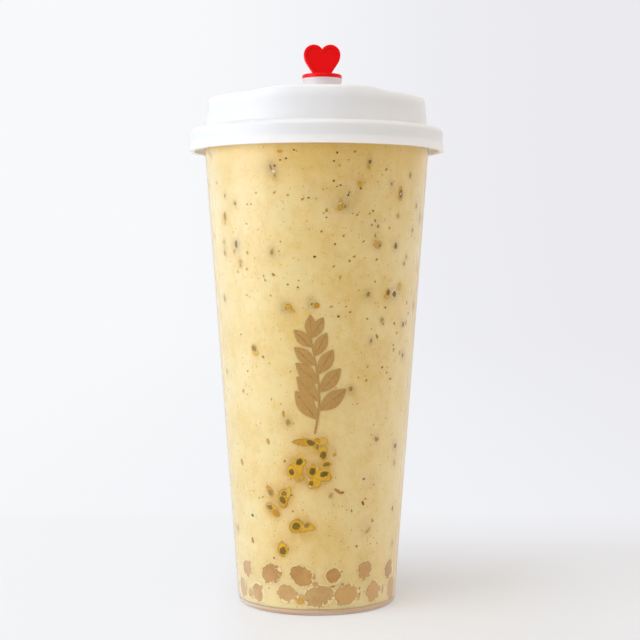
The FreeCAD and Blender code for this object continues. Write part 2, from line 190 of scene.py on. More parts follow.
@dataclass(frozen=True)
class MilkFinish:
    """Thick pale yellow fruit milk, mottled and grained by fine pulp and froth."""

    cream: str = "F9E1A5"
    deep: str = "EED287"
    # The deeper yellow of the painted shade that the lid casts on the milk's top.
    lid_shade: str = "F5CA5A"
    froth: str = "FAE8BA"
    # The paler colour of the painted light near the floor.
    floor_light: str = "FFE8B0"
    # The colour of the painted shadows round what lies in the milk.
    painted_shadow: str = "8F7048"
    pulp: str = "F2B418"
    brown: str = "A8641C"
    cloud_scale: float = 55.0
    mottle_scale: float = 260.0
    grain_scale: float = 1500.0
    speck_scale: float = 850.0
    lid_shade_heights: tuple = (150 * MM, 176 * MM)
    floor_light_heights: tuple = (15 * MM, 6 * MM)
    scatter: tuple = (1.3, 1.3, 1.3)

    def colour(self, graph: Graph) -> Socket:
        """The colour of the milk, without what is painted on its own mesh.

        Args:
            graph: The graph that the nodes are added to.

        Returns:
            The colour.
        """
        clouds = graph.step(graph.noise(self.cloud_scale, 3.0, 0.6), 0.3, 0.72)
        mottles = graph.step(graph.noise(self.mottle_scale, 3.0, 0.65), 0.35, 0.75, -0.25, 0.35)
        colour = graph.blend(graph.math("ADD", clouds, mottles), self.cream, self.deep)
        # Painted shade: the milk turns a deeper yellow towards its top, in the lid's shadow.
        high = graph.step(graph.height(), *self.lid_shade_heights, 0.0, 0.5)
        colour = graph.blend(high, colour, self.lid_shade)
        # Painted light: the milk is paler towards the floor, standing in for the light that the table throws
        # up.
        low = graph.step(graph.height(), *self.floor_light_heights, 0.0, 0.55)
        colour = graph.blend(low, colour, self.floor_light)
        froth = graph.step(graph.noise(self.grain_scale, 2.0, 0.6), 0.45, 0.85, 0.0, 0.5)
        return graph.blend(froth, colour, self.froth)

    def specks(self, graph: Graph, colour: Socket) -> Socket:
        """Adds specks finer than the loose flecks of pulp.

        Args:
            graph: The graph that the nodes are added to.
            colour: What the specks lie on.

        Returns:
            The colour with the specks.
        """
        cells = graph.node("TexVoronoi", {"Vector": graph.place, "Scale": self.speck_scale})
        kind = graph.node("SeparateColor", {0: cells.outputs["Color"]})
        reach = graph.step(kind.outputs[0], 0.45, 1.0, 0.0, 0.3)
        inside = graph.math("LESS_THAN", cells.outputs["Distance"], reach)
        tint = graph.blend(graph.step(kind.outputs[1], 0.75, 0.85), self.pulp, self.brown)
        share = graph.times(inside, graph.step(kind.outputs[2], 0.0, 1.0, 0.15, 0.7))
        return graph.blend(share, colour, tint)

    def material(self) -> Material:
        """The milk itself, with its painted shadows and its patches of pulp."""
        graph = Graph("thick_fruit_milk")
        colour = self.specks(graph, self.colour(graph))
        uneven = graph.step(graph.noise(500.0, 3.0, 0.6), 0.3, 0.7, 0.55, 1.0)
        colour = graph.blend(graph.times(graph.paint("pulp"), uneven), colour, self.pulp)
        # Painted shadow: the milk is greyed round the seeds, the sacs and the pearls that lie in it.
        colour = graph.blend(graph.times(graph.paint("painted_shadow"), uneven), colour, self.painted_shadow)
        return graph.finish(graph.plastic({
            "Base Color": colour,
            "Roughness": 0.45,
            "Specular IOR Level": 0.1,
            "Subsurface Weight": 1.0,
            "Subsurface Radius": self.scatter,
            "Subsurface Scale": MM,
        }))


@dataclass(frozen=True)
class SunkFinish:
    """Something that lies in the milk against the wall, partly under a film of it.

    The film covers it beyond the cut, along a ragged line with a rim inside it. The film and the mist have
    the milk's own colour where none is given.
    """

    name: str
    light: str
    dark: str
    rim: str
    film: str = ""
    mist: str = ""
    patch_scale: float = 400.0
    ragged_scale: float = 900.0
    ragged: float = 0.5
    cut: float = 0.88
    soft: float = 0.06
    rim_width: float = 0.12
    rim_share: float = 0.6
    haze_scale: float = 1100.0
    roughness: float = 0.35
    milk: MilkFinish = MilkFinish()

    def material(self) -> Material:
        """The thing's own colours, which give way to milk where the film lies over it."""
        graph = Graph(self.name)
        patches = graph.math("ADD", graph.noise(self.patch_scale, 3.0, 0.6), graph.paint("tone"))
        colour = graph.blend(graph.step(patches, 0.3, 1.2), self.light, self.dark)
        uneven = graph.math("SUBTRACT", graph.noise(self.ragged_scale, 4.0, 0.7), 0.5)
        uneven = graph.times(uneven, graph.times(graph.paint("wear"), self.ragged))
        reach = graph.math("ADD", graph.math("ADD", graph.paint("edge"), uneven), graph.paint("veil"))
        # The rim is a band of its own colour just inside the film's line; on the pearls it is painted shade
        # that darkens the edge of each bare patch.
        rim = graph.step(reach, self.cut - self.rim_width, self.cut, 0.0, self.rim_share)
        colour = graph.blend(rim, colour, self.rim)
        milk = self.milk.colour(graph)
        film = graph.step(reach, self.cut, self.cut + self.soft)
        colour = graph.blend(film, colour, self.film or milk)
        cloudy = graph.step(graph.noise(self.haze_scale), 0.25, 0.6, 0.7, 1.15)
        colour = graph.blend(graph.times(graph.paint("haze"), cloudy), colour, self.mist or milk)
        return graph.finish(graph.plastic({
            "Base Color": colour,
            "Roughness": self.roughness,
            "Specular IOR Level": 0.1,
        }))


@dataclass(frozen=True)
class ClearFinish:
    """The clear wall of the cup: almost nothing but its gloss, and a warm edge where it is seen end on."""

    edge: str = "EADACB"
    gloss: str = "FFFFFF"
    roughness: float = 0.36
    least_gloss: float = 0.022
    edge_gloss: float = 0.40
    edge_power: float = 1.6

    def material(self) -> Material:
        """See-through plastic with a soft shine."""
        graph = Graph("clear_plastic")
        facing = graph.node("LayerWeight", {"Blend": 0.5}).outputs["Facing"]
        tint = graph.blend(graph.step(facing, 0.8, 1.0), self.gloss, self.edge)
        clear = graph.node("BsdfTransparent", {"Color": tint}).outputs[0]
        ripple = graph.bump(graph.noise(40.0, 2.0, 0.5, (1, 1, 0.2)), 0.01 * MM, 0.2)
        inputs = {"Color": self.gloss, "Roughness": self.roughness, "Normal": ripple}
        shine = graph.node("BsdfGlossy", inputs).outputs[0]
        share = graph.times(graph.math("POWER", facing, self.edge_power), self.edge_gloss)
        share = graph.math("ADD", share, self.least_gloss)
        return graph.finish(graph.mix(share, clear, shine))


@dataclass(frozen=True)
class FootFinish:
    """The thick clear foot, with what is seen through it from above painted on as fine level streaks."""

    warm: str = "DDB78E"
    dark: str = "C89A68"
    pale: str = "ECD9C6"

    def material(self) -> Material:
        """Nearly filled clear plastic with streaks."""
        graph = Graph("clear_plastic_foot")
        # Painted refraction: the warm streaks and the darker line just under the floor stand in for the
        # pearls seen through the foot.
        streaks = graph.noise(30.0, 3.0, 0.6, (1, 1, 40))
        colour = graph.blend(graph.step(streaks, 0.35, 0.65), self.warm, self.pale)
        line = graph.step(graph.height(), 1.7 * MM, 2.3 * MM, 0.0, 0.7)
        colour = graph.blend(line, colour, self.dark)
        body = graph.plastic({"Base Color": colour, "Roughness": 0.18, "Specular IOR Level": 0.5})
        clear = graph.node("BsdfTransparent").outputs[0]
        return graph.finish(graph.mix(0.88, clear, body))


@dataclass(frozen=True)
class MouldedFinish:
    """Moulded polypropylene with a soft shine, uneven from its mould, and tinted pink above a height by
    painted light from the red plug.
    """

    name: str
    colour: str
    worn: str
    roughness: float
    specular: float
    depth: float = 2.5
    relief: float = 0.02 * MM
    plug_glow: str = ""
    plug_glow_height: float = 0.0

    def material(self) -> Material:
        """The plastic in its colour."""
        graph = Graph(self.name)
        clouds = graph.step(graph.noise(35.0, 2.0), 0.3, 0.7)
        colour = graph.blend(clouds, self.colour, self.worn)
        # Painted light: the lid turns pink just under the red plug, as if lit by it.
        if self.plug_glow:
            share = graph.step(graph.height(), self.plug_glow_height, self.plug_glow_height + 0.4 * MM, 0.0, 0.6)
            colour = graph.blend(share, colour, self.plug_glow)
        rough = graph.step(graph.noise(120.0, 2.0), 0.2, 0.8, self.roughness * 0.9, self.roughness * 1.1)
        waves = graph.bump(graph.noise(28.0, 1.0, 0.4), self.relief, 0.3)
        return graph.finish(graph.plastic({
            "Base Color": colour,
            "Roughness": rough,
            "Specular IOR Level": self.specular,
            "Subsurface Weight": 1.0 if self.depth else 0.0,
            "Subsurface Radius": (self.depth, self.depth, self.depth),
            "Subsurface Scale": MM,
            "Normal": waves,
        }))


@dataclass(frozen=True)
class InkFinish:
    """Thin brown-gold ink printed on the outside of the wall."""

    ink: str = "C6964F"
    thin: str = "D3A963"
    cover: float = 0.9

    def material(self) -> Material:
        """Ink that lets a little of the milk through and leaves the leaves' ribs bare."""
        graph = Graph("brown_gold_ink")
        grain = graph.noise(900.0, 3.0, 0.6)
        colour = graph.blend(graph.step(grain, 0.35, 0.8, 0.0, 0.6), self.ink, self.thin)
        ink = graph.plastic({"Base Color": colour, "Roughness": 0.5, "Specular IOR Level": 0.3})
        clear = graph.node("BsdfTransparent").outputs[0]
        cover = graph.step(grain, 0.25, 0.5, self.cover - 0.08, self.cover)
        cover = graph.times(cover, graph.step(graph.paint("rib"), 0.05, 0.09))
        return graph.finish(graph.mix(cover, clear, ink))


# ---- modelling by hand


def deselect_all() -> None:
    """Leaves nothing selected, so that an operator acts only on what is added next."""
    bpy.ops.object.select_all(action="DESELECT")


def lathe(name: str, section: list[tuple[float, float]], sides: int) -> Piece:
    """Draws a ring out along a section, which starts and ends on the axis, into a closed turned shape.

    Args:
        name: The new object's name.
        section: The radius and the height of each ring.
        sides: How many sides each ring has.

    Returns:
        The turned shape.
    """
    rings = [(max(radius, POLE_RADIUS), height) for radius, height in section]
    deselect_all()
    radius, height = rings[0]
    bpy.ops.mesh.primitive_circle_add(vertices=sides, radius=radius, location=(0, 0, height))
    piece = bpy.context.object
    piece.name = name
    bpy.ops.object.transform_apply(location=True, rotation=True, scale=True)
    bpy.ops.object.mode_set(mode="EDIT")
    bpy.ops.mesh.select_all(action="SELECT")
    for (radius, height), (following, level) in zip(rings, rings[1:]):
        bpy.ops.mesh.extrude_region_move(TRANSFORM_OT_translate={"value": (0, 0, level - height)})
        ratio = following / radius
        bpy.ops.transform.resize(value=(ratio, ratio, 1), center_override=(0, 0, level))
    bpy.ops.mesh.select_all(action="SELECT")
    bpy.ops.mesh.remove_doubles(threshold=WELD)
    bpy.ops.mesh.normals_make_consistent(inside=False)
    bpy.ops.object.mode_set(mode="OBJECT")
    return piece


def select_edges(piece: Piece, wanted: Callable[[bmesh.types.BMEdge], bool]) -> None:
    """Opens a mesh in edit mode with only the wanted edges selected.

    Args:
        piece: The mesh's object.
        wanted: Says whether an edge is wanted.
    """
    bpy.context.view_layer.objects.active = piece
    bpy.ops.object.mode_set(mode="EDIT")
    bpy.ops.mesh.select_all(action="DESELECT")
    mesh = bmesh.from_edit_mesh(piece.data)
    for edge in mesh.edges:
        edge.select_set(wanted(edge))
    bmesh.update_edit_mesh(piece.data)


def divide_wall(piece: Piece, low: float, high: float, cuts: int) -> None:
    """Divides the upright edges between two heights, so that the wall can be painted.

    Args:
        piece: The turned shape.
        low: The lower ring's height.
        high: The upper ring's height.
        cuts: How many rings are added between them.
    """
    def upright(edge: bmesh.types.BMEdge) -> bool:
        """Whether the edge goes from the one height to the other."""
        ends = sorted(vertex.co.z for vertex in edge.verts)
        return abs(ends[0] - low) < WELD and abs(ends[1] - high) < WELD

    select_edges(piece, upright)
    bpy.ops.mesh.subdivide(number_cuts=cuts)
    bpy.ops.object.mode_set(mode="OBJECT")


def round_corner(corner: tuple[float, float], radius: float, start: float, end: float,
                 steps: int = 4) -> list[tuple[float, float]]:
    """The points of an arc in a section.

    Args:
        corner: The arc's centre, as a radius and a height.
        radius: The arc's own radius.
        start: The first point's angle, in degrees from the outward direction.
        end: The last point's angle.
        steps: How many stretches the arc has.

    Returns:
        The arc's points, both ends among them.
    """
    points = []
    for i in range(steps + 1):
        angle = math.radians(start + (end - start) * i / steps)
        points.append((corner[0] + radius * math.cos(angle), corner[1] + radius * math.sin(angle)))
    return points


def points_of(piece: Piece) -> np.ndarray:
    """The places of a mesh's points, one row each."""
    flat = np.empty(len(piece.data.vertices) * 3, np.float32)
    piece.data.vertices.foreach_get("co", flat)
    return flat.reshape(-1, 3).astype(float)


def paint(piece: Piece, name: str, values: np.ndarray) -> None:
    """Stores one value for each point of a mesh, for its material to read."""
    layer = piece.data.attributes.new(name, "FLOAT", "POINT")
    layer.data.foreach_set("value", values.astype(np.float32))


def dress(piece: Piece, slot: str, *materials: Material, replaces: str = "") -> Piece:
    """Gives a finished mesh its materials and its place in the frame.

    Args:
        piece: The finished mesh.
        slot: The name of the piece's material slot; it is not used.
        materials: The piece's materials, in the order of its material numbers.
        replaces: The CAD node that the piece stands for.

    Returns:
        The piece.
    """
    deselect_all()
    piece.select_set(True)
    bpy.context.view_layer.objects.active = piece
    bpy.ops.object.shade_smooth_by_angle(angle=SHARP_ANGLE)
    for material in materials:
        piece.data.materials.append(material)
    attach(piece, BODY)
    if replaces:
        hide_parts(replaces)
    LOG.info("%s: %d faces", piece.name, len(piece.data.polygons))
    return piece


# ---- the cup's form


@dataclass
class CupForm:
    """The tapered wall that all the other pieces follow, measured from the frame."""

    wall: float = 1.0 * MM
    foot_radius: float = 30.1 * MM
    milk_reach: float = 0.82 * MM
    sunk_reach: float = 0.88 * MM

    def __post_init__(self) -> None:
        """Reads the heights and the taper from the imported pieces."""
        self.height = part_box("cup")[1].z
        self.rim_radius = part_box("cup")[1].x
        self.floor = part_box("pearl_bed")[0].z
        self.bed_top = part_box("pearl_bed")[1].z
        drink_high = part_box("milkshake")[1]
        self.level = drink_high.z
        self.taper = (drink_high.x + self.wall - self.foot_radius) / self.level

    def outer(self, height: float) -> float:
        """The radius of the wall's outer face at a height."""
        return self.foot_radius + self.taper * height

    def inner(self, height: float) -> float:
        """The radius of the wall's inner face at a height."""
        return self.outer(height) - self.wall


# ---- cup


@dataclass
class Cup:
    """The clear cup: foot ring, raised floor, thin wall and turned-down rim."""

    form: CupForm
    sides: int = 256
    ring_width: float = 2.6 * MM
    recess: float = 1.3 * MM
    foot_edge: float = 1.5 * MM
    rim_drop: float = 3.4 * MM
    rim_thickness: float = 1.2 * MM
    rim_edge: float = 0.4 * MM
    lip_wall: float = 0.9 * MM
    floor_corner: float = 1.2 * MM

    def section(self) -> list[tuple[float, float]]:
        """The outline from the middle of the recess, round the foot and the rim, to the floor's middle."""
        form = self.form
        ring_inside = form.foot_radius - self.ring_width
        top = form.height
        rim = form.rim_radius
        foot = round_corner((form.foot_radius - self.foot_edge, self.foot_edge), self.foot_edge, -90, 0)
        lip = round_corner((rim - self.lip_wall / 2, top - self.rim_drop + self.lip_wall / 2),
                           self.lip_wall / 2, -180, 0, 6)
        over = round_corner((rim - self.rim_edge, top - self.rim_edge), self.rim_edge, 0, 90)
        inside = round_corner((form.inner(top) + self.rim_edge, top - self.rim_edge), self.rim_edge, 90, 180)
        corner = self.floor_corner
        floor = round_corner((form.inner(form.floor) - corner, form.floor + corner), corner, 0, -90)
        return [
            (0, self.recess),
            (ring_inside - self.recess, self.recess),
            (ring_inside, 0),
            *foot,
            (form.outer(form.floor), form.floor),
            (form.outer(top - self.rim_thickness), top - self.rim_thickness),
            (rim - self.lip_wall, top - self.rim_thickness),
            *lip,
            *over,
            *inside,
            *floor,
            (0, form.floor),
        ]

    def build(self) -> Piece:
        """Models the cup, whose foot below the floor has a finish of its own."""
        piece = lathe("cup_wall", self.section(), self.sides)
        for face in piece.data.polygons:
            face.material_index = int(face.center.z < self.form.floor)
        return dress(piece, "cup", ClearFinish().material(), FootFinish().material(), replaces="cup")


# ---- things that lie against the wall


class Template:
    """An even round shape, modelled once, that uneven copies are made from."""

    def __init__(self, segments: int, rings: int) -> None:
        """Models the shape.

        Args:
            segments: Sides round its outward axis.
            rings: Rings along that axis.
        """
        deselect_all()
        bpy.ops.mesh.primitive_uv_sphere_add(segments=segments, ring_count=rings, radius=1)
        piece = bpy.context.object
        self.points = points_of(piece)
        self.faces = [tuple(face.vertices) for face in piece.data.polygons]
        bpy.data.objects.remove(piece)


@dataclass(frozen=True)
class Spot:
    """One thing pressed against the wall, with its turn and lean in degrees and its sizes in millimetres.

    It leans anticlockwise from lying level, and its tip is at the end that the lean lifts. The last fields
    say how uneven its outline is and how the milk's film lies over it.
    """

    turn: float
    height: float
    length: float
    width: float
    lean: float = 0.0
    haze: float = 0.0
    tip: float = 0.0
    depth: float = 1.0
    proud: float = 0.0
    slim: float = 0.0
    uneven: float = 0.08
    wear: float = 1.0
    veil: float = 0.0
    veil_side: float = 0.0
    veil_turn: float = 0.0
    tone: float = 0.0

    def mark(self, reach: float, strength: float) -> Mark:
        """A soft mark in the milk round it, with the reach given in millimetres."""
        return math.radians(self.turn), self.height * MM, reach * MM, strength


def spots(*rows: tuple[float, ...]) -> tuple[Spot, ...]:
    """Spots from rows of turn, height, length, width and, where they aren't 0, lean, haze and tip."""
    return tuple(Spot(*row) for row in rows)


class Lumps:
    """Many things pressed against the wall, joined in one mesh."""

    def __init__(self, form: CupForm, template: Template, seed: int) -> None:
        """Starts with none.

        Args:
            form: The wall that they follow.
            template: The shape that each is made from.
            seed: Starts their unevenness.
        """
        self.form = form
        self.template = template
        self.random = random.Random(seed)
        self.count = 0
        self.points: list[np.ndarray] = []
        self.faces: list[tuple[int, ...]] = []
        self.paints: dict[str, list[np.ndarray]] = {}

    def outline(self, spot: Spot, angle: np.ndarray) -> np.ndarray:
        """Draws the uneven outline of one copy.

        Args:
            spot: How uneven it is, and its tip.
            angle: The directions from its middle.

        Returns:
            How far it reaches in each direction, where 1 is a plain oval.
        """
        reach = np.ones_like(angle)
        for waves in (2, 3, 4, 5):
            strength = spot.uneven * self.random.uniform(0.3, 1.0) * 2 / waves
            reach += strength * np.cos(waves * angle + self.random.uniform(0, math.tau))
        return reach + spot.tip * np.maximum(np.cos(angle), 0) ** 6

    def add(self, spot: Spot) -> None:
        """Adds one copy.

        Args:
            spot: Its place, size and film.
        """
        x, y, z = self.template.points.T
        across = np.hypot(x, y)
        angle = np.arctan2(y, x)
        lean = math.radians(spot.lean)
        outline = self.outline(spot, angle)
        along = x * outline * spot.length * MM / 2
        aside = y * outline * (1 - spot.slim * x * x) * spot.width * MM / 2
        level = spot.height * MM + along * math.sin(lean) + aside * math.cos(lean)
        inward = np.maximum(0.25 - z * 0.5, 0) * spot.depth * MM
        radius = self.form.inner(level) + self.form.sunk_reach + spot.proud * MM - inward
        turn = math.radians(spot.turn) + (along * math.cos(lean) - aside * math.sin(lean)) / radius
        side = (np.cos(angle + lean - spot.veil_turn) * across + 1) / 2
        paints = {
            "edge": np.where(z > 0, across, 1.2),
            "veil": spot.veil + spot.veil_side * side,
            "wear": spot.wear * (0.2 + 0.8 * side ** 2),
            "haze": np.full_like(x, spot.haze),
            "tone": np.full_like(x, spot.tone),
            "rib": np.where((across > 0.9) | (spot.slim == 0), 1.0, np.abs(y)),
        }
        for label, values in paints.items():
            self.paints.setdefault(label, []).append(values)
        self.points.append(np.stack([radius * np.sin(turn), -radius * np.cos(turn), level], axis=1))
        self.faces.extend(tuple(self.count + i for i in face) for face in self.template.faces)
        self.count += len(x)

    def build(self, name: str, *labels: str) -> Piece:
        """Joins the copies.

        Args:
            name: The piece's name.
            labels: The paints that its material reads.

        Returns:
            The joined and painted mesh.
        """
        mesh = bpy.data.meshes.new(name)
        mesh.from_pydata(np.concatenate(self.points).tolist(), [], self.faces)
        piece = bpy.data.objects.new(name, mesh)
        bpy.context.scene.collection.objects.link(piece)
        for label in labels or FILM_PAINTS:
            paint(piece, label, np.concatenate(self.paints[label]))
        return piece


# ---- pearls


@dataclass
class PearlBed:
    """The cooked tapioca pearls that lie on the floor, pressed against the wall in two rows."""

    form: CupForm
    front: tuple[Spot, ...] = spots(
        (-57, 15, 6.4, 5.8, 110, 0.1), (-33, 15, 8.2, 6.8, 20, 0.06), (-10, 15, 8.2, 7, -30, 0.05),
        (12, 15, 6, 5.8, 60), (35, 16, 6.6, 5.6, 60, 0.05), (61, 14.5, 6.5, 5.4, 95),
        (-66, 7, 7, 6, 90, 0.2), (-46, 7, 7.4, 6.4, 90, 0.2), (-21, 8, 7.2, 6.2, 0, 0.22),
        (-10, 7, 3, 2, -15, 0.3), (2, 7.5, 10, 8, 0, 0.28), (22, 7.5, 9, 7.6, 0, 0.16),
        (44, 7.5, 7.6, 7.2, 60, 0.12), (68, 6.5, 7.4, 7.2, 90, 0.1),
    )
    bits: tuple[Spot, ...] = spots(
        (-1, 12, 2.1, 2, 0, 0.2), (18, 11.5, 1.4, 1.4, 0, 0.2), (54, 7.5, 3.4, 0.9, 85, 0.1),
        (31, 9.5, 1.2, 0.7, 50), (31, 7.5, 1.1, 0.8, 10), (11, 11, 1.6, 0.8, 10),
        (-60, 8.5, 3.6, 0.8, 90, 0.3), (-52, 6, 5, 0.7, 88, 0.3),
    )
    back_rows: tuple[tuple[float, float, float], ...] = ((15, 7.0, 0.06), (7, 8.2, 0.26))
    back_count: int = 10
    depth: float = 5.0
    patch_share: float = 0.74
    # The reach and strength of the painted shadow round each pearl.
    halo_share: float = 0.31
    halo_strength: float = 0.16
    seed: int = 11

    def pearls(self) -> list[Spot]:
        """The bare patches of the pearls of both rows all round, with the small bits between them."""
        chance = random.Random(self.seed)

        def filmed(spot: Spot) -> Spot:
            """The pearl with its own film of milk."""
            return replace(spot, depth=self.depth, uneven=0.07, wear=chance.uniform(0.8, 1.2),
                           veil=chance.uniform(-0.06, 0.0), veil_side=chance.uniform(0.0, 0.12),
                           veil_turn=chance.uniform(-1.6, 0.2), tone=chance.uniform(-0.1, 0.35))

        found = [filmed(spot) for spot in self.front]
        for height, across, haze in self.back_rows:
            for i in range(self.back_count):
                turn = 80 + 200 * (i + chance.uniform(0.25, 0.75)) / self.back_count
                found.append(filmed(Spot(
                    turn, height + chance.uniform(-0.7, 0.7), across * chance.uniform(0.85, 1.15),
                    across * chance.uniform(0.75, 0.95), chance.uniform(0, 180), haze)))
        return found + [replace(spot, depth=0.8, wear=0.4, tone=0.3, proud=0.05) for spot in self.bits]

    def shadow_halos(self) -> list[Mark]:
        """The painted shadow round each pearl, where the milk is greyer."""
        return [spot.mark((spot.length + spot.width) * self.halo_share, self.halo_strength)
                for spot in self.front]

    def build(self) -> Piece:
        """Models the pearls, each enlarged so that its patch that the film leaves bare has the size given."""
        lumps = Lumps(self.form, Template(48, 32), self.seed)
        share = self.patch_share
        for spot in self.pearls():
            lumps.add(replace(spot, length=spot.length / share, width=spot.width / share))
        # The rim colour is painted shade at the edge of each pearl's bare patch.
        finish = SunkFinish("soft_tapioca", "D8A65E", "B37E3E", "94601F", cut=0.74, soft=0.02, ragged=2.6,
                            ragged_scale=620.0, patch_scale=160.0, rim_width=0.09, rim_share=0.7)
        return dress(lumps.build("tapioca_pearls"), "pearls", finish.material(), replaces="pearl_bed")


# ---- seeds and pulp


class Kind(Enum):
    """What lies in the milk.

    Each has its name, its slot, its depth and how far it stands before the rest, both in millimetres, and how
    much larger it is modelled than its place says.
    """

    SAC = ("juice_sacs", "pulp", 1.6, 0.0, 1.08)
    CORE = ("seeds_in_sacs", "seeds", 1.2, 0.05, 1.36)
    SEED = ("fruit_seeds", "seeds", 1.0, 0.02, 1.25)
    PULP = ("pulp_flecks", "pulp", 0.6, 0.04, 1.0)
    CHIP = ("seed_crumbs", "seeds", 0.5, 0.07, 1.0)
    # Pale flecks that paint glints of light on the seeds and the milk: painted highlights.
    BUBBLE = ("froth_bubbles", "pulp", 0.4, 0.09, 1.0)
